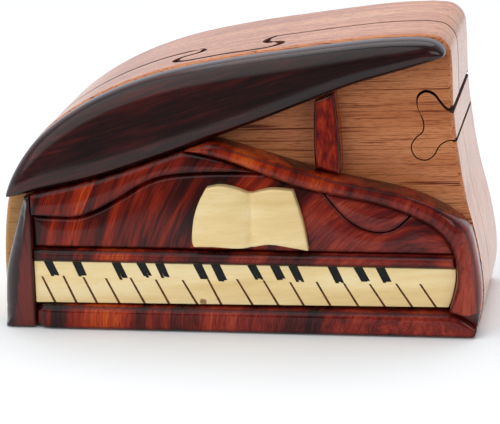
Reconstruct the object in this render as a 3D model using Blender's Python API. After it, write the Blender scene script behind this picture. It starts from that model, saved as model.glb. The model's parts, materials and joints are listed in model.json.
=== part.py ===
"""A small wooden puzzle box carved in relief as a grand piano.

The block is bandsawn from one wing-shaped blank. A cut across it parts the front
slab from the rear box, which hold together on an upright tongue, and a jigsaw key
through both layers at the right keeps the slab from sliding up. The lid, rail,
boards, keyboard and open book are shaped pieces glued on the slab's front.

Outlines are drawn in millimetres from the blank's bottom left front corner:
x to the right, y into the block, z up.
"""
import bpy
import bmesh
from math import cos, radians, sin
from mathutils import Vector

MM = 0.001
WIDTH = 161.0            # of the blank, at its widest
DEPTH = 58.0             # of the blank, front face to back face
PROUD = 13.5             # how far the thickest piece stands off the front face
CUT_Y = 21.0             # the cut between the front slab and the rear box
BACK_THICK = 5.0         # the slice glued on behind the compartments
KERF = 0.4               # the width of a saw cut
TURN_KERF = 1.1          # where the blade was turned round in a tight lobe
SEAM = 0.3               # between two pieces that touch
KEY_TOP_GAP = 1.0        # the cut over the key, opened for a finger nail

LID_PROUD = 12.5
PROP_PROUD = 7.5
SHOULDER_PROUD = 12.0
DESK_PROUD = 9.0
LEAF_PROUD = 9.8
NAMEBOARD_PROUD = 11.0
KEYBOARD_PROUD = 10.0
SLIP_PROUD = 12.5
CHEEK_PROUD = 11.5
BOOK_THICK = 4.0

INNER_X = 12.6           # the cheek's right edge, where the boards start
NAMEBOARD_LOW = 23.0
NAMEBOARD_HIGH = 27.2
SLIP_HIGH = 8.4

ROSEWOOD = ("rosewood", (0.035, 0.012, 0.012), 0.18)
PADAUK = ("padauk", (0.190, 0.020, 0.010), 0.16)
REDWOOD = ("red_rosewood", (0.110, 0.018, 0.010), 0.18)
BOXWOOD = ("boxwood", (0.780, 0.600, 0.330), 0.30)
BLANKWOOD = ("toon_wood", (0.420, 0.160, 0.070), 0.22)

# --- lines that neighbouring pieces share, each in (x, z) from left to right ----

TOP_LEFT = [(1.0, 0.0), (0.0, 13.0), (0.4, 28.0), (2.6, 43.0), (7.6, 54.5), (17.0, 66.0),
            (33.0, 76.8), (53.0, 85.0), (76.0, 90.3), (102.0, 94.3), (126.0, 97.4), (140.0, 98.2)]
TOP_RIGHT_CORNER = [(140.0, 98.2), (146.6, 97.4), (150.4, 93.6), (151.2, 87.0)]
RIGHT_SIDE = [(151.2, 87.0), (151.5, 73.0), (152.8, 60.0), (155.2, 45.0), (158.8, 30.0),
              (160.7, 18.0), (160.8, 9.0), (159.0, 0.0)]
LID_LOW = [(2.7, 43.2), (15.0, 46.4), (37.0, 51.8), (64.0, 61.2), (87.0, 69.8), (104.0, 76.6),
           (120.0, 82.9), (136.0, 87.7), (150.8, 92.4)]
RAIL_HIGH = [(73.5, 64.8), (82.0, 62.2), (95.0, 58.3), (114.0, 52.9), (133.0, 49.0),
             (143.0, 45.8), (150.0, 42.2), (154.6, 39.0), (157.4, 35.6)]
RAIL_LOW = [(64.0, 61.2), (72.0, 59.7), (80.0, 57.6), (89.0, 54.2), (103.0, 49.3), (116.0, 46.6),
            (128.0, 44.2), (138.5, 40.6), (146.5, 36.0), (151.2, 30.0), (152.9, 22.0), (152.1, 15.0),
            (150.0, SLIP_HIGH)]
RAIL_FOOT = [(150.0, SLIP_HIGH), (154.6, 7.2), (159.9, 3.6)]
DESK_HIGH = [(INNER_X, 38.6), (21.0, 38.3), (28.0, 38.4), (35.0, 41.0), (43.0, 45.4), (50.5, 50.0),
             (57.5, 52.6), (67.0, 53.8), (78.0, 54.3), (89.0, 54.2)]
LEAF_LOW = [(109.5, 47.9), (113.0, 43.4), (117.5, 38.6), (123.0, 35.4), (128.5, 34.4),
            (133.5, 36.0), (138.5, 40.6)]


def spline(points, steps=5):
    """Points along the smooth line that runs through the given points, end to end."""
    knots = [Vector(p) for p in points]
    knots = [2 * knots[0] - knots[1]] + knots + [2 * knots[-1] - knots[-2]]
    line = []
    for a, b, c, d in zip(knots, knots[1:], knots[2:], knots[3:]):
        for step in range(steps):
            t = step / steps
            line.append(0.5 * (2 * b + (c - a) * t + (2 * a - 5 * b + 4 * c - d) * t ** 2
                               + (3 * b - a - 3 * c + d) * t ** 3))
    return line + [Vector(points[-1])]


def joined(*lines):
    """One closed outline from lines that meet end to end, without the doubled points."""
    outline = []
    for line in lines:
        for point in line:
            point = Vector(point)
            if not outline or (point - outline[-1]).length > 0.05:
                outline.append(point)
    if (outline[0] - outline[-1]).length < 0.05:
        outline.pop()
    return outline


def stretch(line, low, high, axis=0):
    """The part of a line between two values of x (axis 0) or z (axis 1), cut exactly there."""
    kept = []
    for a, b in zip(line, line[1:]):
        for limit in sorted((low, high), reverse=a[axis] > b[axis]):
            if min(a[axis], b[axis]) < limit < max(a[axis], b[axis]):
                kept.append(a.lerp(b, (limit - a[axis]) / (b[axis] - a[axis])))
        if low <= b[axis] <= high:
            kept.append(b)
    if low <= line[0][axis] <= high:
        kept.insert(0, line[0])
    return kept


def moved_in(outline, distance):
    """A closed outline moved towards its inside by a distance (outwards if negative)."""
    count = len(outline)
    area = sum(a.x * b.y - b.x * a.y for a, b in zip(outline, outline[1:] + outline[:1]))
    side = 1 if area > 0 else -1
    result = []
    for i, point in enumerate(outline):
        before = (point - outline[i - 1]).normalized()
        after = (outline[(i + 1) % count] - point).normalized()
        bisector = (before + after).normalized()
        reach = min(1 / max(bisector.dot(after), 0.1), 2.0)
        result.append(point + Vector((-bisector.y, bisector.x)) * side * distance * reach)
    return result


def material(finish):
    """The plain material of a wood, made once."""
    name, colour, roughness = finish
    made = bpy.data.materials.get(name)
    if made is None:
        made = bpy.data.materials.new(name)
        made.use_nodes = True
        shader = made.node_tree.nodes["Principled BSDF"]
        shader.inputs["Base Color"].default_value = (*colour, 1.0)
        shader.inputs["Roughness"].default_value = roughness
        shader.inputs["Metallic"].default_value = 0.0
        made.diffuse_color = (*colour, 1.0)
    return made


def collection(name):
    """A collection in the scene, made once."""
    made = bpy.data.collections.get(name)
    if made is None:
        made = bpy.data.collections.new(name)
        bpy.context.scene.collection.children.link(made)
    return made


def sawn(name, outline, start, end, upright=False):
    """A mesh object sawn from a board: a closed outline carried from start to end.

    The outline lies in x and z and is carried along y, or, for an upright cut, lies
    in x and y and is carried along z.
    """
    curve = bpy.data.curves.new(name, "CURVE")
    curve.dimensions = "2D"
    curve.fill_mode = "BOTH"
    curve.extrude = (end - start) * MM / 2
    path = curve.splines.new("POLY")
    path.points.add(len(outline) - 1)
    for point, place in zip(path.points, outline):
        point.co = (place.x * MM, place.y * MM, 0.0, 1.0)
    path.use_cyclic_u = True
    drawn = bpy.data.objects.new(name + "_outline", curve)
    bpy.context.scene.collection.objects.link(drawn)
    middle = (start + end) * MM / 2
    left, front = -WIDTH * MM / 2, (PROUD - DEPTH) * MM / 2
    if upright:
        drawn.location = (left, front, middle)
    else:
        drawn.rotation_euler.x = radians(90)
        drawn.location = (left, front + middle, 0.0)
    bpy.context.view_layer.update()
    graph = bpy.context.evaluated_depsgraph_get()
    mesh = bpy.data.meshes.new_from_object(drawn.evaluated_get(graph))
    mesh.transform(drawn.matrix_world)
    mesh.name = name
    bpy.data.objects.remove(drawn)
    bpy.data.curves.remove(curve)
    solid = bmesh.new()
    solid.from_mesh(mesh)
    bmesh.ops.remove_doubles(solid, verts=solid.verts, dist=0.00001)
    bmesh.ops.recalc_face_normals(solid, faces=solid.faces)
    solid.to_mesh(mesh)
    solid.free()
    return bpy.data.objects.new(name, mesh)


def piece(name, finish, outline, start, end):
    """A piece of the box, sawn from its outline."""
    made = sawn(name, outline, start, end)
    made.data.materials.clear()
    made.data.materials.append(material(finish))
    collection("grand_piano_box").objects.link(made)
    return made


def cutter(name, outline, start, end, upright=False):
    """A solid that only cuts others."""
    made = sawn(name, outline, start, end, upright)
    made.hide_render = True
    made.display_type = "WIRE"
    collection("cutters").objects.link(made)
    return made


def cut(made, tool, operation="DIFFERENCE"):
    """Cut a piece with a tool."""
    boolean = made.modifiers.new(tool.name, "BOOLEAN")
    boolean.operation = operation
    boolean.solver = "EXACT"
    boolean.object = tool


def blank_outline():
    """The wing-shaped side of the blank."""
    return joined(spline(TOP_LEFT), spline(TOP_RIGHT_CORNER, 6), spline(RIGHT_SIDE))


def tongue_outline():
    """The rear box's tongue from above, in x and y: two lobes on a narrower neck."""
    left = [(64.0, CUT_Y + 1), (66.4, 20.0), (67.6, 17.4), (66.4, 15.0), (63.6, 13.9), (61.0, 12.9),
            (59.7, 10.4), (60.6, 7.4)]
    front = [(60.6, 7.4), (63.0, 5.6), (68.0, 4.6), (76.0, 4.3), (84.0, 3.5), (90.0, 3.6), (92.8, 5.2)]
    right = [(92.8, 5.2), (94.2, 8.2), (92.8, 10.8), (90.0, 11.8), (88.4, 14.0), (88.6, 17.2),
             (89.8, 19.8), (91.6, CUT_Y + 1)]
    return joined(spline(left, 4), spline(front, 3), spline(right, 4))


def socket_outline():
    """The tongue's socket: one saw cut wider, and wider still where the blade was turned round."""
    turns = [Vector(turn) for turn in ((67.6, 17.4), (59.7, 10.4), (94.2, 8.2), (88.4, 14.0))]
    outline = tongue_outline()
    narrow, wide = (moved_in(outline, -width) for width in (KERF, TURN_KERF))
    socket = []
    for point, near, far in zip(outline, narrow, wide):
        reach = min((point - turn).length for turn in turns)
        socket.append(near.lerp(far, max(0.0, 1 - (reach / 4.0) ** 2)))
    return socket


def key_outline():
    """The jigsaw key: a neck from the right side that ends in two lobes."""
    body = [(151.0, 72.7), (149.2, 73.2), (147.2, 75.4), (145.2, 78.0), (142.4, 78.9), (140.2, 77.2),
            (140.1, 73.8), (141.9, 69.6), (141.7, 66.0), (139.2, 63.6), (137.9, 60.8), (139.2, 57.7),
            (142.2, 56.7), (144.8, 58.2), (146.6, 61.3), (149.0, 63.1), (152.0, 63.5)]
    side = stretch(spline(RIGHT_SIDE), 63.5, 72.7, axis=1)
    return joined(spline(body, 4), reversed(side))


def key_way_outline():
    """The way that the key slides in, wider over the key's top lobe, open at the side."""
    way = []
    for point in moved_in(key_outline(), -KERF):
        lift = (KEY_TOP_GAP - KERF) if point.y > 71.5 else 0.0
        side = 6.0 if point.x > 150.6 else 0.0
        way.append(point + Vector((side, lift)))
    return way


def compartment(x_low, x_high, z_low, ceiling, radius=6.0):
    """A compartment's outline: flat floor and sides, round corners, a ceiling line over it."""
    def corner(x, z, start):
        turns = [radians(start + 30 * k) for k in range(4)]
        return [(x + radius * cos(turn), z + radius * sin(turn)) for turn in turns]
    low_left = corner(x_low + radius, z_low + radius, 180)
    low_right = corner(x_high - radius, z_low + radius, 270)
    return joined(low_left, low_right, spline(ceiling, 4))


def make_block():
    """The rear box with its two compartments, its back slice, the front slab and the key."""
    blank = blank_outline()
    key_way = cutter("key_way", key_way_outline(), -5, DEPTH + 5)
    rear_front = CUT_Y + KERF / 2

    rear = piece("rear_box", BLANKWOOD, blank, 2, DEPTH - BACK_THICK - SEAM)
    tongue = [p for p in tongue_outline() if p.y < rear_front]
    outer = [(-5, rear_front), (-5, -5), (WIDTH + 5, -5), (WIDTH + 5, rear_front)]
    ahead = joined(outer, [(tongue[-1].x, rear_front)], reversed(tongue), [(tongue[0].x, rear_front)])
    cut(rear, cutter("ahead_of_rear", ahead, -5, 105, upright=True))
    cut(rear, key_way)
    left_ceiling = [(56.0, 70.0), (50.0, 75.5), (40.0, 71.8), (27.0, 63.6), (17.5, 53.5), (12.0, 40.0)]
    right_ceiling = [(131.0, 78.0), (125.0, 87.2), (113.0, 86.0), (103.0, 84.0), (97.0, 76.0)]
    cut(rear, cutter("left_compartment", compartment(11.0, 56.0, 9.0, left_ceiling), 0, DEPTH))
    cut(rear, cutter("right_compartment", compartment(97.0, 131.0, 9.0, right_ceiling), 0, DEPTH))

    back = piece("back_panel", BLANKWOOD, blank, DEPTH - BACK_THICK, DEPTH)
    cut(back, key_way)

    slab = piece("front_slab", BLANKWOOD, blank, 0, CUT_Y - KERF / 2)
    cut(slab, cutter("tongue_socket", socket_outline(), -5, 105, upright=True))
    cut(slab, key_way)

    piece("puzzle_key", BLANKWOOD, key_outline(), 0, DEPTH)


def make_relief():
    """The pieces glued on the slab's front, each sawn to the lines that it shares."""
    top = joined(spline(TOP_LEFT), spline(TOP_RIGHT_CORNER, 6))
    lid_low, rail_low = spline(LID_LOW), spline(RAIL_LOW)
    rail_side = stretch(spline(RIGHT_SIDE), 3.6, 35.6, axis=1)
    over_lid_left = [p for p in top if p.y > 43.2 and p.x < 145]
    lid_tip = spline([(145.4, 97.7), (147.6, 96.7), (149.4, 95.1), (150.5, 93.3)], 3)
    lid = joined(reversed(lid_low), over_lid_left, lid_tip)
    rail = joined(stretch(lid_low, 64.0, 73.5), spline(RAIL_HIGH), rail_side,
                  reversed(spline(RAIL_FOOT)), reversed(rail_low))
    prop = joined(spline([(106.9, 55.3), (106.6, 63.0), (106.7, 70.0), (107.1, 77.5)]),
                  spline([(114.0, 80.3), (115.1, 70.0), (115.7, 61.0), (115.6, 52.9)]))
    shoulder = joined(stretch(lid_low, INNER_X, 64.0), stretch(rail_low, 64.0, 89.0),
                      reversed(spline(DESK_HIGH)))
    leaf_low = spline(LEAF_LOW)
    leaf = joined(stretch(rail_low, 111.0, 137.3), reversed(stretch(leaf_low, 110.4, 137.7)))
    desk = joined(spline(DESK_HIGH), stretch(rail_low, 89.0, 109.5), leaf_low,
                  [p for p in rail_low if p.x > 138.5 and p.y > NAMEBOARD_HIGH],
                  [Vector((152.2, NAMEBOARD_HIGH)), Vector((INNER_X, NAMEBOARD_HIGH))])
    nameboard = joined([Vector((INNER_X, NAMEBOARD_LOW)), Vector((INNER_X, NAMEBOARD_HIGH))],
                       [Vector((152.2, NAMEBOARD_HIGH)), Vector((152.85, NAMEBOARD_LOW))])
    keyboard = joined([Vector((INNER_X, SLIP_HIGH)), Vector((INNER_X, NAMEBOARD_LOW))],
                      [Vector((152.85, NAMEBOARD_LOW))],
                      [p for p in rail_low if SLIP_HIGH <= p.y < NAMEBOARD_LOW - 0.3])
    slip = joined([Vector((INNER_X, 1.2)), Vector((INNER_X, 6.4)), Vector((15.0, SLIP_HIGH))],
                  spline(RAIL_FOOT), [Vector((159.0, 0.0)), Vector((16.0, 0.0))])
    cheek = joined(spline([(1.2, 0.0), (1.5, 9.0), (2.3, 19.0), (4.6, 28.0), (7.0, 36.5), (9.4, 44.6)], 3),
                   [Vector((INNER_X, 45.4)), Vector((INNER_X, 0.0))])
    shapes = {"lid": (ROSEWOOD, lid, LID_PROUD), "lid_prop": (PADAUK, prop, PROP_PROUD),
              "rim_rail": (REDWOOD, rail, PROUD), "left_shoulder": (REDWOOD, shoulder, SHOULDER_PROUD),
              "music_desk": (REDWOOD, desk, DESK_PROUD), "rail_leaf": (REDWOOD, leaf, LEAF_PROUD),
              "nameboard": (REDWOOD, nameboard, NAMEBOARD_PROUD),
              "keyboard": (BOXWOOD, keyboard, KEYBOARD_PROUD),
              "key_slip": (REDWOOD, slip, SLIP_PROUD), "left_cheek": (ROSEWOOD, cheek, CHEEK_PROUD)}
    for name, (finish, outline, proud) in shapes.items():
        piece(name, finish, moved_in(outline, SEAM / 2), -proud, -SEAM)


def make_book():
    """The open music book on the desk: one piece with a wavy top and bottom."""
    left = [(72.0, 49.4), (69.4, 44.6), (67.4, 38.6), (66.6, 31.6), (67.2, 29.2)]
    bottom = [(67.2, 29.2), (74.0, 29.5), (82.0, 29.1), (86.2, 29.5), (92.5, 30.7), (99.0, 29.8),
              (105.0, 28.6)]
    right = [(105.0, 28.6), (103.4, 38.4), (100.4, 48.9)]
    top = [(100.4, 48.9), (94.0, 49.4), (89.6, 48.6), (86.0, 47.7), (82.0, 49.2), (76.6, 50.2), (72.0, 49.4)]
    outline = joined(spline(left, 3), spline(bottom, 3), spline(right, 3), spline(top, 3))
    front = DESK_PROUD + SEAM + BOOK_THICK
    piece("music_book", BOXWOOD, outline, -front, -DESK_PROUD - SEAM)


def main():
    for thing in list(bpy.data.objects):
        bpy.data.objects.remove(thing)
    make_block()
    make_relief()
    make_book()


main()
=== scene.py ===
# %% [markdown]
# # A puzzle box carved as a grand piano
#
# The box is bandsawn from one block of reddish wood. On its front, shaped pieces of
# darker and paler woods are glued like a thick jigsaw: the piano's lid, its curved
# rail, the music desk, the keyboard and an open book. Everything is sanded round by
# hand and then lacquered to a high gloss.
#
# The measured solids come from the frame and never move. Each one is copied, and the
# copy is rounded, carved and given its wood.

import json
import math
import random

import bpy
import numpy as np
from mathutils import Matrix, Vector
from mathutils.bvhtree import BVHTree

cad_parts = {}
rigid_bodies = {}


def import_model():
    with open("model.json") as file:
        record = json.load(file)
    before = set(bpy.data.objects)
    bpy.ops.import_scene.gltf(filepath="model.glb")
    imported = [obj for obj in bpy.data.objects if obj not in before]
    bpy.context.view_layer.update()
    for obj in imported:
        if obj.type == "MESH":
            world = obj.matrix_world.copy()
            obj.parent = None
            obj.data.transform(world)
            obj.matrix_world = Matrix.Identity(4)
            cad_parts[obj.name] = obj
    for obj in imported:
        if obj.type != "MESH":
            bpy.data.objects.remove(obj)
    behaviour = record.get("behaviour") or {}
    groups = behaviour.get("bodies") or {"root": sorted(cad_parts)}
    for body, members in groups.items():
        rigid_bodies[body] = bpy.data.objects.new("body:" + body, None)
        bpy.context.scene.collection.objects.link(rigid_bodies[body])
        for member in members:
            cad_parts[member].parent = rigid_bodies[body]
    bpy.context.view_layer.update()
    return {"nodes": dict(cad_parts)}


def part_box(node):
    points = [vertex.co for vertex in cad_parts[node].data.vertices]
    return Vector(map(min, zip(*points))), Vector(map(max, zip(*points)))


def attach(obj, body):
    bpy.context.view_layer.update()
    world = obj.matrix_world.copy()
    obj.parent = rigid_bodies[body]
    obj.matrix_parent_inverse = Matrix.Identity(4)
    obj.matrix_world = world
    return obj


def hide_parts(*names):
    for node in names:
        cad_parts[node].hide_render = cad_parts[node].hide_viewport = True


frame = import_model()
MM = 0.001
BOX, KEY = "box", "key"
SLAB_LOW, SLAB_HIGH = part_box("front_slab")

# %% [markdown]
# ## A clean start for each piece
#
# A solid from the frame is loose triangles. Welding them and dissolving the flat
# ones gives back whole faces with a clean outline, which every later step needs.


# %% Copy a node and clean it
def select_only(thing):
    """Select one object and make it the active one."""
    bpy.ops.object.select_all(action="DESELECT")
    thing.select_set(True)
    bpy.context.view_layer.objects.active = thing


def copy_of(node, name):
    """A welded copy of a node, with whole faces, free of its parent and materials."""
    select_only(frame["nodes"][node])
    bpy.ops.object.duplicate()
    made = bpy.context.object
    made.name = made.data.name = name
    bpy.ops.object.parent_clear(type="CLEAR_KEEP_TRANSFORM")
    made.data.materials.clear()
    bpy.ops.mesh.customdata_custom_splitnormals_clear()
    bpy.ops.object.mode_set(mode="EDIT")
    bpy.ops.mesh.select_all(action="SELECT")
    bpy.ops.mesh.remove_doubles(threshold=0.00002)
    bpy.ops.mesh.dissolve_limited(angle_limit=math.radians(0.2))
    bpy.ops.object.mode_set(mode="OBJECT")
    return made


def front_outline(piece):
    """The outline of the piece's front face, as rows of x and z, in order."""
    front = max((f for f in piece.data.polygons if f.normal.y < -0.99), key=lambda f: f.area)
    corners = [piece.data.vertices[i].co for i in front.vertices]
    return np.array([(c.x, c.z) for c in corners]), front.center.y


def finish(piece, node_name, body, slot, *woods):
    """Give a piece its woods and its place in the frame."""
    for wood in woods:
        piece.data.materials.append(wood)
    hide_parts(node_name)
    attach(piece, body)
    print(piece.name, len(piece.data.polygons), "faces")


# %% [markdown]
# ## Sanding an edge round
#
# A belt sander turns the sharp front edge of a sawn piece into a quarter circle, and
# where two edges come close, as at a pointed tip, the two curves meet in a ridge. A
# bevel tangles at such tips, so the piece is first remeshed into small even squares,
# and each vertex near the edge is then laid on the curve by its distance from the
# outline. The distance is kept on the mesh, because the colour is darkened there as
# painted shade in the seams.


# %% Measure how far points are from an outline
def nearest_on(outline, points):
    """For each point: the nearest spot on the outline, its segment, and the distance."""
    start, end = outline, np.roll(outline, -1, axis=0)
    run = end - start
    length2 = (run ** 2).sum(1)
    t = ((points[:, None, :] - start) * run).sum(2) / length2
    spots = start + t.clip(0, 1)[..., None] * run
    gaps = np.linalg.norm(points[:, None, :] - spots, axis=2)
    segment = gaps.argmin(1)
    row = np.arange(len(points))
    return spots[row, segment], segment, gaps[row, segment]


def inward(outline):
    """The inward direction of each segment of the outline."""
    run = np.roll(outline, -1, axis=0) - outline
    area = (outline[:, 0] * np.roll(outline[:, 1], -1) - np.roll(outline[:, 0], -1) * outline[:, 1]).sum()
    side = np.stack([-run[:, 1], run[:, 0]], 1) * (1 if area > 0 else -1)
    return side / np.linalg.norm(side, axis=1)[:, None]


def room(outline, directions):
    """The radius of the largest circle that fits inside the outline at each segment."""
    middles = (outline + np.roll(outline, -1, axis=0)) / 2
    others = np.concatenate([middles, outline])
    apart = others[None] - middles[:, None]
    ahead = (apart * directions[:, None]).sum(2)
    reach = (apart ** 2).sum(2) / (2 * np.where(ahead > 1e-6, ahead, np.nan))
    return np.nanmin(reach, axis=1)


# %% Find each point's place beside the edge
def points_of(piece):
    """The vertices of a piece, as rows of x, y and z."""
    co = np.empty(len(piece.data.vertices) * 3)
    piece.data.vertices.foreach_get("co", co)
    return co.reshape(-1, 3)


def beside_edge(outline, directions, flat):
    """For each point: the nearest spot on the outline, the way in from it, the segment and the gap."""
    chunks = [nearest_on(outline, flat[i:i + 4000]) for i in range(0, len(flat), 4000)]
    spot, segment, gap = (np.concatenate(part) for part in zip(*chunks))
    turn = directions[segment]
    away = (flat - spot) / np.maximum(gap, 1e-9)[:, None]
    inside = (away * turn).sum(1) > 0
    turn = np.where((inside & (gap > 0.1 * MM))[:, None], away, turn)
    return spot, turn, segment, np.where(inside, gap, 0)


# %% Lay points on the round
def lay_round(gap, deep, back, asked, free):
    """Which points lie on the round, and the new gap and depth of every point.

    asked is the radius wanted, free the one that there is room for, and back the depth of
    the piece. Behind the round, the side is stretched or squeezed over the depth that is left.
    """
    on_curve = (gap < free) & (deep < free)
    angle = np.where(on_curve, (free - gap + deep) / free, 0) * math.pi / 4
    new_gap = np.where(on_curve, free * (1 - np.sin(angle)), gap)
    drop = asked - np.sqrt(np.maximum(asked ** 2 - (asked - new_gap).clip(0) ** 2, 0))
    squeezed = asked + (deep - free) * (back - asked) / (back - free)
    side = np.where(gap < free, squeezed, deep)
    new_deep = np.where(deep < free, drop, side)
    new_deep = np.where(deep > back - 0.1 * MM, deep, np.minimum(new_deep, back - 0.2 * MM))
    return on_curve, new_gap, new_deep


# %% Smooth chosen vertices
def smooth(piece, chosen, strokes, **axes):
    """Smooth the chosen vertices of the active piece, by so many strokes."""
    piece.data.vertices.foreach_set("select", chosen)
    bpy.ops.object.mode_set(mode="EDIT")
    bpy.ops.mesh.select_mode(type="VERT")
    bpy.ops.mesh.vertices_smooth(factor=0.5, repeat=strokes, **axes)
    bpy.ops.object.mode_set(mode="OBJECT")


# %% Sand a piece
def sand(piece, radius, voxel=0.5 * MM, crown=0.0, shape=None, blunt=0):
    """Round the front edge of a piece, dome its face by crown, and then apply shape.

    radius is a number, or a function of a spot's x and z and its inward direction.
    blunt is how many strokes take the ridge off where the piece is narrow.
    """
    outline, face_y = front_outline(piece)
    directions = inward(outline)
    select_only(piece)
    piece.data.remesh_voxel_size = voxel
    bpy.ops.object.voxel_remesh()
    co = points_of(piece)
    flat, deep = co[:, (0, 2)], (co[:, 1] - face_y).clip(0)
    back = co[:, 1].max() - face_y
    spot, turn, segment, gap = beside_edge(outline, directions, flat)
    asked = radius(spot, directions[segment]) if callable(radius) else np.full(len(co), radius)
    space = room(outline, directions)[segment]
    free = np.maximum(np.minimum(asked, 0.95 * space), 0.05 * MM)
    on_curve, new_gap, new_deep = lay_round(gap, deep, back, asked, free)
    fade = (1 - deep / back).clip(0, 1)
    new_deep += crown * fade * (1 - (gap / (8 * MM)).clip(0, 1)) ** 2
    flat = np.where(on_curve[:, None], spot + turn * new_gap[:, None], flat)
    if shape is not None:
        new_deep += shape(flat[:, 0], flat[:, 1]) * fade
    co = np.stack([flat[:, 0], face_y + new_deep, flat[:, 1]], 1)
    piece.data.vertices.foreach_set("co", co.ravel())
    piece.data.update()
    if blunt:
        narrow = (space < 1.5 * asked) & (deep < 0.5 * back) & (gap > 0.3 * asked)
        smooth(piece, narrow, blunt, xaxis=False, zaxis=False)
    smooth(piece, np.ones(len(co), bool), 2)
    bpy.ops.object.shade_smooth()
    # The distance from the edge, kept for the painted shade in the seams.
    rim = piece.data.attributes.new("rim", "FLOAT", "POINT")
    rim.data.foreach_set("value", (gap + deep).astype(np.float32))


# %% Rub a spot smoother
def rub(piece, x, z, reach, strokes):
    """Smooth the vertices within reach of a place, given in millimetres from the blank's left foot."""
    middle = np.array([SLAB_LOW[0] + x * MM, z * MM])
    co = points_of(piece)
    near = np.linalg.norm(co[:, (0, 2)] - middle, axis=1) < reach * MM
    select_only(piece)
    smooth(piece, near & (co[:, 1] < co[:, 1].max() - 1.0 * MM), strokes)


# %% [markdown]
# ## Colours, nodes and the wood's own directions
#
# Colours are read off as sRGB hex values, and Blender's shader wants linear ones, so
# one function turns them, and one function adds any node. All the woods take their
# pattern from object coordinates in millimetres, turned so that the first axis runs
# along the grain, so the figure runs on from the face over the edges, as it does in
# solid wood. The scale of a pattern is then a number per millimetre: 0.1 across the
# grain gives streaks about 10 mm wide.


# %% A colour and a node
def rgb(hexa):
    """A linear colour with alpha from an sRGB hex value."""
    parts = [int(hexa[i:i + 2], 16) / 255 for i in (1, 3, 5)]
    return tuple(c / 12.92 if c <= 0.04045 else ((c + 0.055) / 1.055) ** 2.4 for c in parts) + (1.0,)


def fill(made, inputs):
    """Fill a node's inputs with numbers, or with links from sockets or from whole nodes."""
    for name, value in inputs.items():
        if isinstance(value, bpy.types.Node):
            value = next(output for output in value.outputs if output.enabled)
        if isinstance(value, bpy.types.NodeSocket):
            made.id_data.links.new(value, made.inputs[name])
        else:
            made.inputs[name].default_value = value


def node(tree, kind, inputs=None, stops=(), **settings):
    """Add a node with its settings, a colour ramp's stops, and its inputs.

    The inputs of a Math or a Mix node go by number, because their names repeat: a colour
    Mix has its factor at 0 and its two colours at 6 and 7.
    """
    made = tree.nodes.new("ShaderNode" + kind)
    for name, value in settings.items():
        setattr(made, name, value)
    for number, (place, colour) in enumerate(stops):
        points = made.color_ramp.elements
        point = points[number] if number < len(points) else points.new(place)
        point.position, point.color = place, rgb(colour)
    fill(made, inputs or {})
    return made


def new_material(name):
    """A material with nodes, and its tree."""
    made = bpy.data.materials.new(name)
    made.use_nodes = True
    print("material", name)
    return made, made.node_tree


# %% Coordinates in the wood
def millimetres(tree, heart=(0, 0, 0)):
    """Object coordinates in millimetres from a point."""
    here = node(tree, "TexCoord").outputs["Object"]
    return node(tree, "Mapping", {"Vector": here, "Scale": (1000, 1000, 1000),
                                  "Location": tuple(-c for c in heart)})


def grain(tree, turn):
    """Coordinates in millimetres, turned so that the first axis runs along a straight grain."""
    return node(tree, "Mapping", {"Vector": millimetres(tree),
                                  "Rotation": tuple(math.radians(a) for a in turn)})


def rings(tree, heart):
    """Coordinates round a tree's heart in the x-z plane: outwards, into the depth, and round."""
    place = node(tree, "SeparateXYZ", {0: millimetres(tree, heart)}).outputs
    flat = node(tree, "CombineXYZ", {"X": place["X"], "Z": place["Z"]})
    radius = node(tree, "VectorMath", {0: flat}, operation="LENGTH")
    angle = node(tree, "Math", {0: place["Z"], 1: place["X"]}, operation="ARCTAN2")
    round_it = node(tree, "Math", {0: angle, 1: 70.0}, operation="MULTIPLY")
    return node(tree, "CombineXYZ", {"X": radius, "Y": place["Y"], "Z": round_it}), radius


# %% Lacquer over any wood
def lacquer(colour, height, roughness=0.45, film=0.09, index=1.4):
    """The end of every lacquered wood: its colour and pores under a clear gloss film.

    The lacquer is a thin clear film with an index of about 1.4, wiped on and rubbed
    out, so it mirrors softly. The wood under it has nearly the same index, so it
    hardly reflects by itself. Its pores show through as bumps 0.04 mm high.
    """
    tree = colour.id_data
    raised = node(tree, "Bump", {"Height": height, "Distance": 0.04 * MM, "Strength": 1.0})
    fill(tree.nodes["Principled BSDF"], {
        "Base Color": colour, "Normal": raised, "IOR": 1.5, "Metallic": 0.0, "Roughness": roughness,
        "Specular IOR Level": 0.02, "Coat Weight": 1.0, "Coat Roughness": film, "Coat IOR": index})


# %% [markdown]
# ## Block wood: flat-sawn, reddish, open-grained
#
# The block is a light reddish hardwood such as toon. It is sawn so that the growth
# layers lie almost flat to its front: the front shows long thin dark lines with short
# dark pores between them, the right side shows the layers on edge as upright lines,
# and a strip of paler, yellower sapwood is left at the lower left. Noise stretched
# along the grain runs through the solid, so front, side and top agree where they meet,
# which a flat picture of wood on each face would not.

# %% Growth layers, 2 to 3 mm thick and tilted 9 degrees from the front
BLOCK_WOOD, block = new_material("toon_flat_sawn_lacquered")
along_block = grain(block, (9, 1.5, 0))
layers = node(block, "TexNoise", {
    "Vector": node(block, "Mapping", {"Vector": along_block, "Scale": (0.008, 0.42, 0.035)}),
    "Scale": 1.0, "Detail": 3.0, "Roughness": 0.6, "Distortion": 0.3})
broad = node(block, "TexNoise", {
    "Vector": node(block, "Mapping", {"Vector": along_block, "Scale": (0.010, 0.10, 0.09)}),
    "Scale": 1.0, "Detail": 3.0, "Roughness": 0.55})
both = node(block, "Math", {0: layers, 1: broad}, operation="ADD")
half = node(block, "Math", {0: both, 1: 0.5}, operation="MULTIPLY")
heartwood = node(block, "ValToRGB", {"Fac": half}, stops=(
    (0.36, "#AE633A"), (0.47, "#CA7D4F"), (0.56, "#D88E5E"), (0.66, "#E29E6E")))

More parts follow.
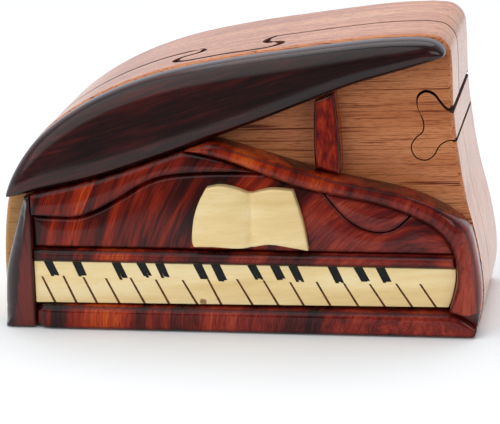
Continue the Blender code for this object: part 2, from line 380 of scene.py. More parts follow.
# %% Sapwood under a ragged line that falls from the left end towards the middle
across = node(block, "SeparateXYZ", {0: millimetres(block)}).outputs
ragged = node(block, "Math", {0: broad, 1: 9.0}, operation="MULTIPLY")
left = node(block, "MapRange", {
    "Value": node(block, "Math", {0: across["X"], 1: ragged}, operation="ADD"),
    "From Min": -65.5, "From Max": -71.5}, interpolation_type="SMOOTHSTEP")
low = node(block, "MapRange", {
    "Value": node(block, "Math", {0: across["Z"], 1: ragged}, operation="ADD"),
    "From Min": 72.0, "From Max": 44.0}, interpolation_type="SMOOTHSTEP")
sap = node(block, "Math", {0: left, 1: low}, operation="MULTIPLY")
lined = node(block, "Mix", {0: sap, 6: heartwood, 7: rgb("#C08C50")}, data_type="RGBA")

# %% Long lines, finer threads, and pores 3 mm long and 0.2 mm wide
for amount, scale, shift, detail, rough, stops in (
        (1.0, (0.014, 1.9, 1.2), (3.0, 0, 0), 3.0, 0.5, ((0.34, "#96644A"), (0.41, "#FFFFFF"))),
        (0.9, (0.035, 3.4, 2.7), (0, 0, 7.0), 2.0, 0.55, ((0.33, "#9A6A50"), (0.42, "#FFFFFF"))),
        (0.6, (0.30, 5.5, 5.5), (0, 0, 0), 1.0, 0.55, ((0.32, "#A87C64"), (0.48, "#FFFFFF")))):
    placed = node(block, "Mapping", {"Vector": along_block, "Location": shift, "Scale": scale})
    marks = node(block, "TexNoise", {
        "Vector": placed, "Scale": 1.0, "Detail": detail, "Roughness": rough})
    dark = node(block, "ValToRGB", {"Fac": marks}, stops=stops)
    lined = node(block, "Mix", {0: amount, 6: lined, 7: dark}, data_type="RGBA", blend_type="MULTIPLY")
calmer = node(block, "Math", {0: sap, 1: 0.4}, operation="MULTIPLY")
block_colour = node(block, "Mix", {0: calmer, 6: lined, 7: rgb("#B48148")}, data_type="RGBA")
lacquer(block_colour, marks, film=0.2)  # the marks are now the pores

# %% [markdown]
# ## Sawn faces
#
# No sandpaper or lacquer reaches inside the saw cuts, so they stay rough. Their faces
# are dark brown as painted shade, so each cut reads as a dark line. A cut is part of
# its piece, so this is a second material on the same mesh, given face by face.

# %% Bare sawn wood, dark brown as painted shade in the cuts
SAWN_WOOD, sawn = new_material("toon_sawn_painted_shade")
sawn_shade_noise = node(sawn, "TexNoise", {
    "Vector": node(sawn, "Mapping", {"Vector": millimetres(sawn), "Scale": (0.3, 0.3, 1.5)}),
    "Scale": 1.0, "Detail": 2.0, "Roughness": 0.55})
sawn_brown = node(sawn, "ValToRGB", {"Fac": sawn_shade_noise}, stops=((0.35, "#2A140A"), (0.65, "#55291A")))
fill(sawn.nodes["Principled BSDF"], {
    "Base Color": sawn_brown, "Roughness": 0.85, "Specular IOR Level": 0.2})

# %% [markdown]
# ## Red rosewood: deep red with black and orange streaks
#
# Rosewood of the cocobolo kind has irregular black bands 5 to 10 mm wide and orange
# streaks 1 to 3 mm wide. The boards are cut near the tree's heart, so the streaks
# stand almost upright at the left and lean over more and more towards the right, as
# arcs round a point near the lower right. Near the seams the colour is darkened, as
# painted shade.


# %% Painted shade in the seams
def painted_seam_shade(tree, colour, reach=1.3, shade="#8A6A66"):
    """Darken a colour near the sanded edge, over reach millimetres, as painted shade in the seams."""
    rim = node(tree, "Attribute", attribute_name="rim").outputs["Fac"]
    near = node(tree, "MapRange", {"Value": rim, "From Max": reach * MM})
    seam = node(tree, "ValToRGB", {"Fac": near}, stops=((0.0, shade), (1.0, "#FFFFFF")))
    return node(tree, "Mix", {0: 1.0, 6: colour, 7: seam}, data_type="RGBA", blend_type="MULTIPLY")


# %% Streaks round a tree's heart
def red_streaks(tree, heart, offset, band):
    """The darkness of the wood, with an optional black band at one radius, and its fibres."""
    around, radius = rings(tree, heart)
    bands = node(tree, "TexNoise", {
        "Vector": node(tree, "Mapping", {
            "Vector": around, "Location": offset, "Scale": (0.075, 0.05, 0.014)}),
        "Scale": 1.0, "Detail": 2.0, "Roughness": 0.55, "Distortion": 0.4})
    streaks = node(tree, "TexNoise", {
        "Vector": node(tree, "Mapping", {
            "Vector": around, "Location": offset, "Scale": (0.36, 0.26, 0.034)}),
        "Scale": 1.0, "Detail": 5.0, "Roughness": 0.62, "Distortion": 0.6})
    fibres = node(tree, "TexNoise", {
        "Vector": node(tree, "Mapping", {"Vector": around, "Scale": (2.4, 2.4, 0.14)}),
        "Scale": 1.0, "Detail": 2.0, "Roughness": 0.55})
    value = node(tree, "Math", {
        0: node(tree, "Math", {0: bands, 1: 0.62}, operation="MULTIPLY"),
        1: node(tree, "Math", {0: streaks, 1: 0.38}, operation="MULTIPLY")}, operation="ADD")
    if band is not None:
        swing = node(tree, "Math", {0: streaks, 1: 9.0}, operation="MULTIPLY")
        ragged = node(tree, "Math", {0: radius, 1: swing}, operation="ADD")
        off = node(tree, "Math", {0: ragged, 1: band + 4.5}, operation="SUBTRACT")
        distance = node(tree, "Math", {0: off, 1: 0.0}, operation="ABSOLUTE")
        black = node(tree, "MapRange", {
            "Value": distance, "From Min": 5.6, "From Max": 3.2, "To Max": 0.13},
            interpolation_type="SMOOTHSTEP")
        value = node(tree, "Math", {0: value, 1: black}, operation="SUBTRACT")
    return value, fibres


# %% Red rosewood
def red_rosewood(name, heart, offset, plain_from, band=None):
    """Streaked rosewood that turns plainer and browner from plain_from, in millimetres along x."""
    made, tree = new_material(name)
    value, fibres = red_streaks(tree, heart, offset, band)
    lively = node(tree, "ValToRGB", {"Fac": value}, stops=(
        (0.35, "#1E0B0B"), (0.42, "#48110C"), (0.475, "#761D0F"),
        (0.53, "#9C2C11"), (0.60, "#BC4816"), (0.69, "#CE6424")))
    plain = node(tree, "ValToRGB", {"Fac": value}, stops=(
        (0.37, "#2E0F11"), (0.46, "#611B18"), (0.54, "#842820"), (0.64, "#9E3C2C")))
    x = node(tree, "SeparateXYZ", {0: millimetres(tree)}).outputs["X"]
    right = node(tree, "MapRange", {
        "Value": x, "From Min": plain_from - 12, "From Max": plain_from + 22, "To Max": 0.85},
        interpolation_type="SMOOTHSTEP")
    wood = node(tree, "Mix", {0: right, 6: lively, 7: plain}, data_type="RGBA")
    fine = node(tree, "ValToRGB", {"Fac": fibres}, stops=((0.34, "#A07868"), (0.54, "#FFFFFF")))
    fibrous = node(tree, "Mix", {0: 0.7, 6: wood, 7: fine}, data_type="RGBA", blend_type="MULTIPLY")
    # The seams get painted shade.
    lacquer(painted_seam_shade(tree, fibrous), fibres, index=1.31)
    return made


BOARD_ROSEWOOD = red_rosewood("rosewood_red_boards_lacquered", (66.0, 0, -1.0), (0.4, 0, 0), 12.0, 119.5)
RAIL_ROSEWOOD = red_rosewood("rosewood_red_rail_lacquered", (130.0, 0, 8.0), (5.3, 0, 0), 30.0)
SLIP_ROSEWOOD = red_rosewood("rosewood_red_slip_lacquered", (54.0, 0, -3.0), (2.1, 0, 0), -20.0)

# %% [markdown]
# ## Near-black rosewood, padauk and boxwood
#
# The lid and the cheek are a much darker rosewood with faint wine-red streaks along
# the grain. The lid turns redder towards its left tip, and the cheek has a black strip
# down its left side. The prop is padauk, a bright orange-red wood with a mottled
# figure. The keys and the book are a fine, pale wood like boxwood, with hardly any
# figure.


# %% Dark rosewood
def dark_rosewood(name, turn, offset, change):
    """Near-black rosewood with wine-red streaks, some 1 mm wide, along the grain.

    change is a function that shifts the streaks' value by the place on the board.
    """
    made, tree = new_material(name)
    along = grain(tree, turn)
    patches = node(tree, "TexNoise", {
        "Vector": node(tree, "Mapping", {
            "Vector": along, "Location": offset, "Scale": (0.016, 0.05, 0.05)}),
        "Scale": 1.0, "Detail": 3.0, "Roughness": 0.55})
    streaks = node(tree, "TexNoise", {
        "Vector": node(tree, "Mapping", {
            "Vector": along, "Location": offset, "Scale": (0.05, 0.9, 0.9)}),
        "Scale": 1.0, "Detail": 4.0, "Roughness": 0.7})
    both = node(tree, "Math", {0: patches, 1: streaks}, operation="ADD")
    half = node(tree, "Math", {0: both, 1: 0.5}, operation="MULTIPLY")
    wood = node(tree, "ValToRGB", {"Fac": change(tree, half)}, stops=(
        (0.40, "#1A0A0A"), (0.50, "#2C0F0E"), (0.58, "#461512"), (0.70, "#681E15")))
    # The seams get painted shade.
    lacquer(painted_seam_shade(tree, wood, 0.9, "#8A8084"), streaks, film=0.17)
    return made


def redder_left(tree, value):
    """The lid's left tip is redder."""
    x = node(tree, "SeparateXYZ", {0: millimetres(tree)}).outputs["X"]
    red = node(tree, "MapRange", {"Value": x, "From Min": -40.0, "From Max": -84.0, "To Max": 0.11},
               interpolation_type="SMOOTHSTEP")
    return node(tree, "Math", {0: value, 1: red}, operation="ADD")


def black_left(tree, value):
    """The cheek is lighter, but for a black strip that leans along its left side."""
    lighter = node(tree, "Math", {0: value, 1: 0.13}, operation="ADD")
    place = node(tree, "SeparateXYZ", {0: millimetres(tree)}).outputs
    lean = node(tree, "Math", {0: place["Z"], 1: 0.15}, operation="MULTIPLY")
    upright = node(tree, "Math", {0: place["X"], 1: lean}, operation="SUBTRACT")
    black = node(tree, "MapRange", {
        "Value": upright, "From Min": -74.5, "From Max": -76.5, "To Max": 0.2},
        interpolation_type="SMOOTHSTEP")
    return node(tree, "Math", {0: lighter, 1: black}, operation="SUBTRACT")


DARK_ROSEWOOD = dark_rosewood("rosewood_dark_lacquered", (0, 18, 0), (0, 0, 0), redder_left)
CHEEK_ROSEWOOD = dark_rosewood("rosewood_dark_cheek_lacquered", (0, -84, 0), (0.4, 0, 2.2), black_left)

# %% Padauk: orange-red, mottled upright in spots 2 mm wide
PADAUK, padauk = new_material("padauk_lacquered")
mottle = node(padauk, "TexNoise", {
    "Vector": node(padauk, "Mapping", {"Vector": millimetres(padauk), "Scale": (0.50, 0.50, 0.16)}),
    "Scale": 1.0, "Detail": 5.0, "Roughness": 0.7})
orange = node(padauk, "ValToRGB", {"Fac": mottle}, stops=(
    (0.34, "#4A0E08"), (0.47, "#7E1A0C"), (0.58, "#A02E12"), (0.70, "#C2501F")))
# The seams get painted shade.
lacquer(painted_seam_shade(padauk, orange, 1.4, "#7A4A42"), mottle)

# %% Boxwood: cream, with faint lines along the keyboard
BOXWOOD, boxwood = new_material("boxwood_lacquered")
along_keys = grain(boxwood, (0, 4, 0))
clouds = node(boxwood, "TexNoise", {
    "Vector": node(boxwood, "Mapping", {"Vector": along_keys, "Scale": (0.022, 0.20, 0.20)}),
    "Scale": 1.0, "Detail": 4.0, "Roughness": 0.55})
cream = node(boxwood, "ValToRGB", {"Fac": clouds}, stops=(
    (0.32, "#EACB8C"), (0.50, "#F3D79C"), (0.66, "#F8E2AE")))
fine = node(boxwood, "TexNoise", {
    "Vector": node(boxwood, "Mapping", {"Vector": along_keys, "Scale": (0.25, 2.2, 2.2)}),
    "Scale": 1.0, "Detail": 2.0, "Roughness": 0.55})
specks = node(boxwood, "ValToRGB", {"Fac": fine}, stops=((0.28, "#EAD8B4"), (0.45, "#FFFFFF")))
pale = node(boxwood, "Mix", {0: 0.25, 6: cream, 7: specks}, data_type="RGBA", blend_type="MULTIPLY")

# %% One small brown pin knot, 2 mm across, in the keyboard's lower edge
from_knot = node(boxwood, "VectorMath", {0: millimetres(boxwood, (-11.2, -32, 9.9))}, operation="LENGTH")
wobble = node(boxwood, "TexNoise", {
    "Vector": millimetres(boxwood), "Scale": 1.0, "Detail": 4.0, "Roughness": 0.55})
swing = node(boxwood, "Math", {0: wobble, 1: 2.4}, operation="MULTIPLY")
edge = node(boxwood, "Math", {0: from_knot, 1: swing}, operation="ADD")
knot = node(boxwood, "MapRange", {"Value": edge, "From Min": 2.7, "From Max": 1.9, "To Max": 0.85},
            interpolation_type="SMOOTHSTEP")
knotty = node(boxwood, "Mix", {0: knot, 6: pale, 7: rgb("#7E4A1C")}, data_type="RGBA")
lacquer(knotty, fine, roughness=0.5)

# %% [markdown]
# ## The block: slab, rear box, back slice and key
#
# These are sawn, so they keep crisp saw cuts: only a quarter of a millimetre is eased
# off each edge. Where a bare outer edge shows, it is sanded round with a wider bevel
# first. Where the cuts come out on the outside, handling has worn their edges wider,
# and only that worn edge shows on the top and the side, which are seen so flat that the
# cut itself vanishes. On the slab, the rear box and the key, the eased and worn edges
# take the dark sawn colour, as painted shade along the cuts. Weighted normals keep the
# long faces flat beside their bevels.

# %% Where the block's edges are
PANEL_LOW, PANEL_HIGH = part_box("back_panel")
LID_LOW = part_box("lid")[0]
RAIL_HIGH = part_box("rim_rail")[1]
KEY_LOW, KEY_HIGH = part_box("puzzle_key")
REAR_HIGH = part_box("rear_box")[1]
MIDDLE = Vector(((SLAB_LOW[0] + SLAB_HIGH[0]) / 2, 0, SLAB_HIGH[2] * 0.4))
FRONT_Y, BACK_Y = SLAB_LOW[1], PANEL_HIGH[1]
print("block from y", round(FRONT_Y, 4), "to", round(BACK_Y, 4))


# %% Tell the outer edges from the cuts
def is_outer(mesh, edge, faces):
    """Whether an edge borders the block's outer side, and not a cut into it."""
    middle = (mesh.vertices[edge.vertices[0]].co + mesh.vertices[edge.vertices[1]].co) / 2
    outward = (middle - MIDDLE) * Vector((1, 0, 1))
    side = min(faces, key=lambda f: abs(f.normal.y))
    in_key_way = (KEY_LOW[2] - MM < middle.z < KEY_HIGH[2] + 2 * MM
                  and KEY_LOW[0] - 2 * MM < middle.x < KEY_HIGH[0] - 1.8 * MM)
    return side.normal.dot(outward.normalized()) > 0.35 and not in_key_way


def faces_by_edge(mesh):
    """The faces on each edge."""
    faces_of = {}
    for face in mesh.polygons:
        for pair in face.edge_keys:
            faces_of.setdefault(pair, []).append(face)
    return faces_of


# %% Bevel chosen edges
def bevel_edges(piece, chosen, **how):
    """Bevel the chosen edges of a piece."""
    select_only(piece)
    bpy.ops.object.mode_set(mode="EDIT")
    bpy.ops.mesh.select_mode(type="EDGE")
    bpy.ops.mesh.select_all(action="DESELECT")
    bpy.ops.object.mode_set(mode="OBJECT")
    for index in chosen:
        piece.data.edges[index].select = True
    bpy.ops.object.mode_set(mode="EDIT")
    bpy.ops.mesh.bevel(profile=0.5, clamp_overlap=False, **how)
    bpy.ops.object.mode_set(mode="OBJECT")
    print(piece.name, len(chosen), "edges rounded")


def round_rim(piece, depth, width, keep=lambda middle: True, segments=5):
    """Round the outer edges of a piece at one depth, where keep says so."""
    mesh, faces_of, chosen = piece.data, faces_by_edge(piece.data), []
    for edge in mesh.edges:
        ends = [mesh.vertices[i].co for i in edge.vertices]
        if all(abs(end.y - depth) < 0.05 * MM for end in ends):
            if is_outer(mesh, edge, faces_of[edge.key]) and keep((ends[0] + ends[1]) / 2):
                chosen.append(edge.index)
    bevel_edges(piece, chosen, offset=width, segments=segments)


def wear_and_shade_cut(piece, width=0.8 * MM):
    """Wear the edges of the saw cuts where they come out on the block's outer side, and colour the worn
    edge dark as painted shade of the cut.
    """
    mesh, faces_of, chosen = piece.data, faces_by_edge(piece.data), []
    for edge in mesh.edges:
        faces = faces_of[edge.key]
        woods = {face.material_index for face in faces}
        if len(faces) == 2 and woods == {0, 1} and all(abs(face.normal.y) < 0.9 for face in faces
                                                       if face.material_index == 0):
            chosen.append(edge.index)
    bevel_edges(piece, chosen, offset=width, segments=3, material=1)


# %% Mark the sawn faces, and ease the edges
def surface(node_name):
    """A node's surface, ready to be hit by rays."""
    mesh = frame["nodes"][node_name].data
    return BVHTree.FromPolygons([v.co for v in mesh.vertices], [f.vertices for f in mesh.polygons])


WOODS = [surface(name) for name in ("front_slab", "rear_box", "puzzle_key")]


def looks_at_wood(spot, direction):
    """Whether a ray from a spot soon meets the outside of another piece."""
    hits = [wood.ray_cast(spot + direction * 0.05 * MM, direction, 1.6 * MM)[1] for wood in WOODS]
    return any(normal is not None and normal.dot(direction) < -0.3 for normal in hits)


def mark_sawn(piece):
    """Give the second material to each face that looks at other wood across a saw cut."""
    for face in piece.data.polygons:
        corners = [piece.data.vertices[i].co.lerp(face.center, 0.3) for i in face.vertices[:3]]
        face.material_index = int(sum(looks_at_wood(c, face.normal) for c in corners) >= 2)


def ease(piece, width=0.24 * MM, wood=1):
    """Take the sharpness off every edge, and shade the round parts smooth.

    Every new edge face takes the wood numbered wood: by default the dark sawn wood,
    as painted shade along the edges.
    """
    select_only(piece)
    bevel = piece.modifiers.new("eased", "BEVEL")
    bevel.width = width
    bevel.segments = 2
    bevel.angle_limit = math.radians(35)
    bevel.material = wood
    bpy.ops.object.modifier_apply(modifier="eased")
    bpy.ops.object.shade_smooth_by_angle(angle=math.radians(40))
    weighted = piece.modifiers.new("flat_faces", "WEIGHTED_NORMAL")
    weighted.keep_sharp = True
    weighted.weight = 80
    bpy.ops.object.modifier_apply(modifier="flat_faces")


# %% The front slab
def bare_front(middle):
    """The slab's front edge shows all round, but for the foot and the right end of the rail."""
    return middle.z > (RAIL_HIGH[2] - 21 * MM if middle.x > 0 else MM)


slab = copy_of("front_slab", "slab_wood")
slab.data.materials.append(BLOCK_WOOD)
# The second wood is dark brown, as painted shade in the cuts.
slab.data.materials.append(SAWN_WOOD)
round_rim(slab, FRONT_Y, 1.6 * MM, bare_front)
mark_sawn(slab)
wear_and_shade_cut(slab)
ease(slab)
finish(slab, "front_slab", BOX, "block_wood")

# %% [markdown]
# The back slice is glued to the rear box, and a glue line hardly shows, so its copy
# reaches right up to the box.

# %% The rear box and its back slice
rear = copy_of("rear_box", "rear_wood")
rear.data.materials.append(BLOCK_WOOD)
# The second wood is dark brown, as painted shade in the cuts.
rear.data.materials.append(SAWN_WOOD)
mark_sawn(rear)
wear_and_shade_cut(rear)
ease(rear)
finish(rear, "rear_box", BOX, "block_wood")
panel = copy_of("back_panel", "back_wood")
round_rim(panel, BACK_Y, 3.2 * MM, segments=6)
for corner in panel.data.vertices:
    if corner.co.y < PANEL_LOW[1] + 0.1 * MM:
        corner.co.y = REAR_HIGH[1] + 0.03 * MM
panel.data.materials.append(BLOCK_WOOD)
ease(panel, 0.04 * MM, wood=0)
finish(panel, "back_panel", BOX, "block_wood")

# %% The jigsaw key
key = copy_of("puzzle_key", "key_wood")
key.data.materials.append(BLOCK_WOOD)
# The second wood is dark brown, as painted shade in the cuts.
key.data.materials.append(SAWN_WOOD)
round_rim(key, FRONT_Y, 1.9 * MM, lambda middle: middle.x > KEY_HIGH[0] - 2 * MM)
round_rim(key, BACK_Y, 3.2 * MM, lambda middle: middle.x > KEY_HIGH[0] - 2 * MM)
mark_sawn(key)
wear_and_shade_cut(key, 0.45 * MM)
ease(key)
finish(key, "puzzle_key", KEY, "block_wood")

# %% [markdown]
# ## The relief
#
# Each piece has its own hand: the lid has a broad round top and a bevel below, the
# rail a crisp upper edge and a soft inner one, the boards a rounded top, and the
# cheek a long slope on its left. A bevel has one width all round, so each piece has a
# small function instead that gives the radius at each spot of its outline.


# %% The lid
def lid_radius(spot, direction):
    """A broad round along the top, broader still at the left end, and a bevel below."""
    left = (1 - (spot[:, 0] - LID_LOW[0]) / (26 * MM)).clip(0, 1)
    return np.where(direction[:, 1] > 0, 3.0, 4.2 + 0.8 * left) * MM


lid = copy_of("lid", "lid_carved")
sand(lid, lid_radius, 0.55 * MM, crown=0.4 * MM, blunt=60)
rub(lid, 3.0, 44.0, 8.0, 30)
rub(lid, 148.5, 95.0, 11.0, 40)
finish(lid, "lid", BOX, "dark_rosewood", DARK_ROSEWOOD)


# %% The rail, crisp above and soft inside
def rail_radius(spot, direction):
    """Crisp where the edge faces up and at the foot, soft on the inner side and down the right."""
    right = (-direction[:, 0] - 0.5).clip(0, 0.5) * 2
    inner = (direction[:, 1] > 0.2) | (direction[:, 0] > 0.4)
    foot = inner & (spot[:, 1] < 16 * MM)
    return np.where(foot, 0.7, np.where(inner, 2.2, 0.7 + 7.3 * right)) * MM


rail = copy_of("rim_rail", "rail_carved")
sand(rail, rail_radius, 0.45 * MM, crown=0.4 * MM, blunt=25)
rub(rail, 156.0, 35.0, 7.0, 40)
finish(rail, "rim_rail", BOX, "red_rosewood", RAIL_ROSEWOOD)

# %% The prop, the shoulder and the leaf
def prop_radius(spot, direction):
    """Rounded sides, and nearly square ends, where the prop meets the lid and the rail."""
    return np.where(np.abs(direction[:, 1]) > 0.7, 0.3, 1.5) * MM


prop = copy_of("lid_prop", "prop_carved")
sand(prop, prop_radius, 0.35 * MM, blunt=20)
finish(prop, "lid_prop", BOX, "padauk", PADAUK)
shoulder = copy_of("left_shoulder", "shoulder_carved")
sand(shoulder, lambda spot, direction: np.where(direction[:, 0] > 0.8, 0.25, 1.0) * MM,
     0.4 * MM, crown=0.5 * MM, blunt=10)
finish(shoulder, "left_shoulder", BOX, "red_rosewood", BOARD_ROSEWOOD)
leaf = copy_of("rail_leaf", "leaf_carved")
sand(leaf, 0.45 * MM, 0.25 * MM, crown=0.5 * MM)
finish(leaf, "rail_leaf", BOX, "red_rosewood", BOARD_ROSEWOOD)


# %% The music desk, the nameboard and the slip
def desk_radius(spot, direction):
    """Round along the curved top, nearly square below, and square where the rail and leaf lie on it."""
    under_rail = spot[:, 0] > SLAB_LOW[0] + 90 * MM
    square = under_rail | (direction[:, 0] > 0.8)
    return np.where(square, 0.3, np.where(direction[:, 1] < -0.3, 2.0, 0.8)) * MM


desk = copy_of("music_desk", "desk_carved")
sand(desk, desk_radius, 0.5 * MM, crown=0.3 * MM)
finish(desk, "music_desk", BOX, "red_rosewood", BOARD_ROSEWOOD)


def strip_radius(spot, direction):
    """A strip that stands proud of the board over it: a broad round above, a small one below."""
    return np.where(direction[:, 1] < -0.5, 1.9, 0.7) * MM


strip = copy_of("nameboard", "nameboard_carved")
sand(strip, strip_radius, 0.3 * MM, crown=0.4 * MM)
finish(strip, "nameboard", BOX, "red_rosewood", SLIP_ROSEWOOD)
SLIP_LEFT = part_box("key_slip")[0][0]


def slip_end(x, z):
    """The slip's left end falls away in a round."""
    return 1.6 * MM * (1 - (x - SLIP_LEFT) / (5 * MM)).clip(0, 1) ** 2


slip = copy_of("key_slip", "slip_carved")
sand(slip, strip_radius, 0.4 * MM, crown=0.5 * MM, shape=slip_end)
rub(slip, 14.0, 7.0, 4.0, 12)
finish(slip, "key_slip", BOX, "red_rosewood", SLIP_ROSEWOOD)


# %% The left cheek
def cheek_radius(spot, direction):
    """A long slope on the left, and a small round on the right."""
    return np.where(direction[:, 0] > 0.3, 6.0, 0.3) * MM


cheek = copy_of("left_cheek", "cheek_carved")
sand(cheek, cheek_radius, 0.4 * MM, crown=0.3 * MM, blunt=10)
rub(cheek, 4.0, 22.0, 30.0, 10)
finish(cheek, "left_cheek", BOX, "dark_rosewood", CHEEK_ROSEWOOD)

# %% [markdown]
# ## The open book
#
# One pale piece: the two pages rise from the fold in the middle, and fall away again
# towards the outer edges. It could be sculpted, but a depth that depends only on the
# distance from the fold keeps both pages even.

# %% The open book
BOOK_LOW, BOOK_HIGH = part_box("music_book")
FOLD_X = BOOK_LOW[0] + 0.508 * (BOOK_HIGH[0] - BOOK_LOW[0])


def pages(x, z):
    """How far the page lies back from the book's highest plane."""
    across = np.abs(x - FOLD_X) / MM
    fold = 0.9 * np.exp(-(across / 0.9) ** 2) + 0.9 * np.exp(-(across / 5.0) ** 2)
    fall = 1.2 * (across / 19) ** 3
    return (fold + fall) * MM


book = copy_of("music_book", "book_carved")
sand(book, 0.7 * MM, 0.3 * MM, shape=pages)
finish(book, "music_book", BOX, "boxwood", BOXWOOD)

# %% [markdown]
# ## The keyboard
#
# The white keys are one board. A thin saw has cut slanting slits up from its lower
# edge, spaced by eye, and the heat has browned them. The black keys are shallow
# slanting marks chiselled from its upper edge and filled with black paint. Lines that
# are only painted on stay flat when the box is turned, so both are cut with Booleans,
# and each cut face keeps the cutter's own material.

# %% Scorched slits and black paint
SCORCHED, scorched = new_material("boxwood_scorched_by_saw")
burn = node(scorched, "TexNoise", {
    "Vector": node(scorched, "Mapping", {"Vector": millimetres(scorched), "Scale": (0.8, 0.8, 0.8)}),
    "Scale": 1.0, "Detail": 3.0, "Roughness": 0.55})
burnt_brown = node(scorched, "ValToRGB", {"Fac": burn}, stops=((0.35, "#4A2410"), (0.65, "#8A4E26")))
fill(scorched.nodes["Principled BSDF"], {"Base Color": burnt_brown, "Roughness": 0.8})
BLACK_PAINT, black = new_material("enamel_black_brushed")
brushed = node(black, "TexNoise", {
    "Vector": node(black, "Mapping", {"Vector": grain(black, (0, 25, 0)), "Scale": (1.6, 1.6, 0.3)}),
    "Scale": 1.0, "Detail": 3.0, "Roughness": 0.55})
enamel = node(black, "ValToRGB", {"Fac": brushed}, stops=(
    (0.35, "#0E0E10"), (0.60, "#1A1A1D"), (0.72, "#34343A")))
fill(black.nodes["Principled BSDF"], {
    "Base Color": enamel, "Roughness": 0.5, "Specular IOR Level": 0.25})


# %% One slanting bar for cutting
def slanting_bar(name, top, foot, wide_top, wide_foot, depth, wood):
    """A bar between two (x, z) points, as deep into the board as said, with its own material."""
    bpy.ops.object.select_all(action="DESELECT")
    bpy.ops.mesh.primitive_cube_add(size=2)
    bar = bpy.context.object
    bar.name = name
    for corner in bar.data.vertices:
        (x, z), wide = (top, wide_top) if corner.co.z > 0 else (foot, wide_foot)
        y = KEYS_LOW[1] + depth if corner.co.y > 0 else KEYS_LOW[1] - 2 * MM
        corner.co = (x + math.copysign(wide / 2, corner.co.x), y, z)
    bar.data.materials.append(wood)
    return bar


def carve(piece, bars):
    """Join the bars and cut them out of the piece."""
    bpy.ops.object.select_all(action="DESELECT")
    for bar in bars:
        bar.select_set(True)
    bpy.context.view_layer.objects.active = bars[0]
    if len(bars) > 1:
        bpy.ops.object.join()
    tool = bpy.context.object
    select_only(piece)
    cut = piece.modifiers.new("cut", "BOOLEAN")
    cut.object = tool
    cut.operation = "DIFFERENCE"
    cut.solver = "EXACT"
    cut.material_mode = "TRANSFER"
    bpy.ops.object.modifier_apply(modifier="cut")
    bpy.data.objects.remove(tool)


# %% The keyboard board
KEYS_LOW, KEYS_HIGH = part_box("keyboard")
BOARD_LEFT = SLAB_LOW[0]
keys = copy_of("keyboard", "keyboard_carved")
keys.data.materials.append(BOXWOOD)
select_only(keys)
rounded = keys.modifiers.new("eased", "BEVEL")
rounded.width = 0.35 * MM
rounded.segments = 2
rounded.angle_limit = math.radians(40)
bpy.ops.object.modifier_apply(modifier="eased")
print("keyboard", [round(v * 1000, 1) for v in (*KEYS_LOW, *KEYS_HIGH)])

# %% Sixteen slits between the white keys, leaning over more towards the right
hand = random.Random(11)
SLIT_TOPS = (15.6, 22.8, 29.6, 37.2, 45.5, 54.0, 63.0, 71.5,
             81.2, 90.0, 98.8, 107.5, 116.5, 125.0, 133.6, 141.4)
SLIT_HEIGHT, SLIT_LEAN = 9.1, 3.7
slits = []
for number, x in enumerate(SLIT_TOPS):
    top_z = KEYS_LOW[2] + (SLIT_HEIGHT + hand.uniform(-0.4, 0.4)) * MM
    lean = (SLIT_LEAN + 0.11 * number + hand.uniform(-0.3, 0.4)) * MM
    top_x = BOARD_LEFT + (x - 0.3) * MM
    foot_z = KEYS_LOW[2] - 0.5 * MM
    slits.append(slanting_bar("slit", (top_x, top_z), (top_x + lean * 1.14, foot_z),
                              wide_top=0.72 * MM, wide_foot=0.92 * MM, depth=0.45 * MM, wood=SCORCHED))
carve(keys, slits)
print(len(slits), "slits")

# %% Thirteen black keys, in twos and threes, each of three chisel strokes
BLACK_KEYS = (17.5, 27.2, 40.5, 48.8, 55.1, 67.8, 73.8, 85.8, 93.4, 99.4, 112.4, 120.8, 128.1)
MARK_LENGTH, MARK_LEAN, STROKES_APART = 5.0, 2.5, 0.95
marks = []
for x in BLACK_KEYS:
    low = KEYS_HIGH[2] - (MARK_LENGTH + hand.uniform(-0.5, 0.5)) * MM
    lean = (MARK_LEAN + hand.uniform(-0.6, 0.3)) * MM
    for stroke in (-1, 0, 1):
        top_x = BOARD_LEFT + (x - 0.15 + STROKES_APART * stroke) * MM
        foot = (top_x + lean - 0.08 * stroke * MM, low + hand.uniform(-0.45, 0.3) * MM)
        marks.append(slanting_bar("black_key", (top_x, KEYS_HIGH[2] + 0.5 * MM), foot, wide_top=1.2 * MM,
                                  wide_foot=(1.05 + hand.uniform(-0.1, 0.15)) * MM,
                                  depth=(0.35 + 0.03 * stroke) * MM, wood=BLACK_PAINT))
# Strokes of one key overlap, so they are cut in three rounds.
for start in (0, 1, 2):
    carve(keys, marks[start::3])
select_only(keys)
bpy.ops.object.shade_smooth_by_angle(angle=math.radians(30))
finish(keys, "keyboard", BOX, "boxwood")

# %% [markdown]
# ## Floor, light and camera
#
# The box stands on pale paper that is graded from white round the box to grey towards
# the camera. The dark front pieces are lacquered, and the paper in front is what
# they mirror, so the grey end keeps them deep and clear. One large soft light is over
# the front left, a weaker one is to the right, one is overhead, and the surround is
# bright behind the box, where the top and the side mirror it.

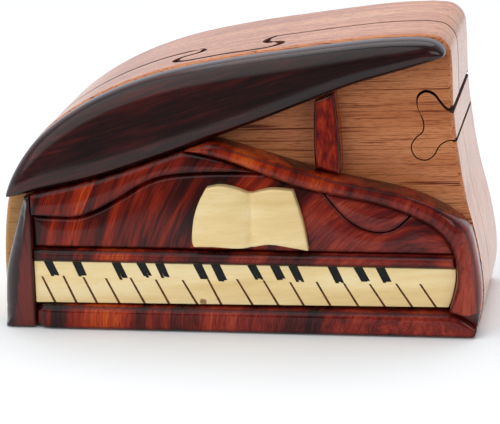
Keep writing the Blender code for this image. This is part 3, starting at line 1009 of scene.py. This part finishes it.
# %% Floor
bpy.ops.object.select_all(action="DESELECT")
bpy.ops.mesh.primitive_plane_add(size=8, location=(0, 0, -0.0002))
floor = bpy.context.object
floor.name = "floor"
PAPER, paper = new_material("paper_matt_graded")
y = node(paper, "SeparateXYZ", {0: millimetres(paper)}).outputs["Y"]
white = node(paper, "MapRange", {"Value": y, "From Min": -195.0, "From Max": -150.0},
             interpolation_type="SMOOTHSTEP")
behind = node(paper, "MapRange", {"Value": y, "From Min": 30.0, "From Max": 200.0},
              interpolation_type="SMOOTHSTEP")
graded = node(paper, "Mix", {0: white, 6: rgb("#6E6E70"), 7: rgb("#F4F4F3")}, data_type="RGBA")
paper_shade = node(paper, "Mix", {0: behind, 6: graded, 7: rgb("#F7F5F3")}, data_type="RGBA")
fill(paper.nodes["Principled BSDF"], {
    "Base Color": paper_shade, "Roughness": 0.9, "Specular IOR Level": 0.1})
floor.data.materials.append(PAPER)


# %% Lights
def soft_light(name, place, size, power):
    """A square soft light aimed at the box."""
    lamp = bpy.data.lights.new(name, "AREA")
    lamp.shape = "SQUARE"
    lamp.size = size
    lamp.energy = power
    holder = bpy.data.objects.new(name, lamp)
    bpy.context.scene.collection.objects.link(holder)
    holder.location = place
    holder.rotation_euler = (Vector((0, 0, 0.05)) - Vector(place)).to_track_quat("-Z", "Y").to_euler()


soft_light("soft_front_left", (-0.65, -0.8, 0.85), 1.6, 11.5)
soft_light("soft_front_right", (0.7, -0.85, 0.4), 0.5, 2.2)
soft_light("soft_top", (0.0, 0.3, 1.1), 1.0, 6.0)

# %% A surround that is bright behind and dim in front
world = bpy.data.worlds.new("studio")
bpy.context.scene.world = world
world.use_nodes = True
sky = world.node_tree
toward = node(sky, "TexCoord").outputs["Generated"]
depth = node(sky, "SeparateXYZ", {0: toward}).outputs["Y"]
level = node(sky, "MapRange", {
    "Value": depth, "From Min": -0.8, "From Max": 0.2, "To Min": 0.12, "To Max": 0.85},
    interpolation_type="SMOOTHSTEP")
fill(sky.nodes["Background"], {"Strength": level, "Color": rgb("#EEF6FF")})

# %% Camera
AZIMUTH, ELEVATION, ROLL = 9.94, 15.6, -1.76
DISTANCE, LENS = 0.9, 191.2
AIM = Vector((-0.00074, 0.00275, 0.03105))
turned, raised = math.radians(AZIMUTH), math.radians(ELEVATION)
level_out = math.cos(raised)
outward = Vector((math.sin(turned) * level_out, -math.cos(turned) * level_out, math.sin(raised)))
look = (-outward).to_track_quat("-Z", "Y").to_matrix() @ Matrix.Rotation(math.radians(ROLL), 3, "Z")
camera = bpy.data.objects.new("camera", bpy.data.cameras.new("camera"))
camera.data.lens = LENS
camera.data.sensor_width = 36
camera.matrix_world = Matrix.Translation(AIM + outward * DISTANCE) @ look.to_4x4()
bpy.context.scene.collection.objects.link(camera)
bpy.context.scene.camera = camera
bpy.context.scene.view_settings.view_transform = "Standard"
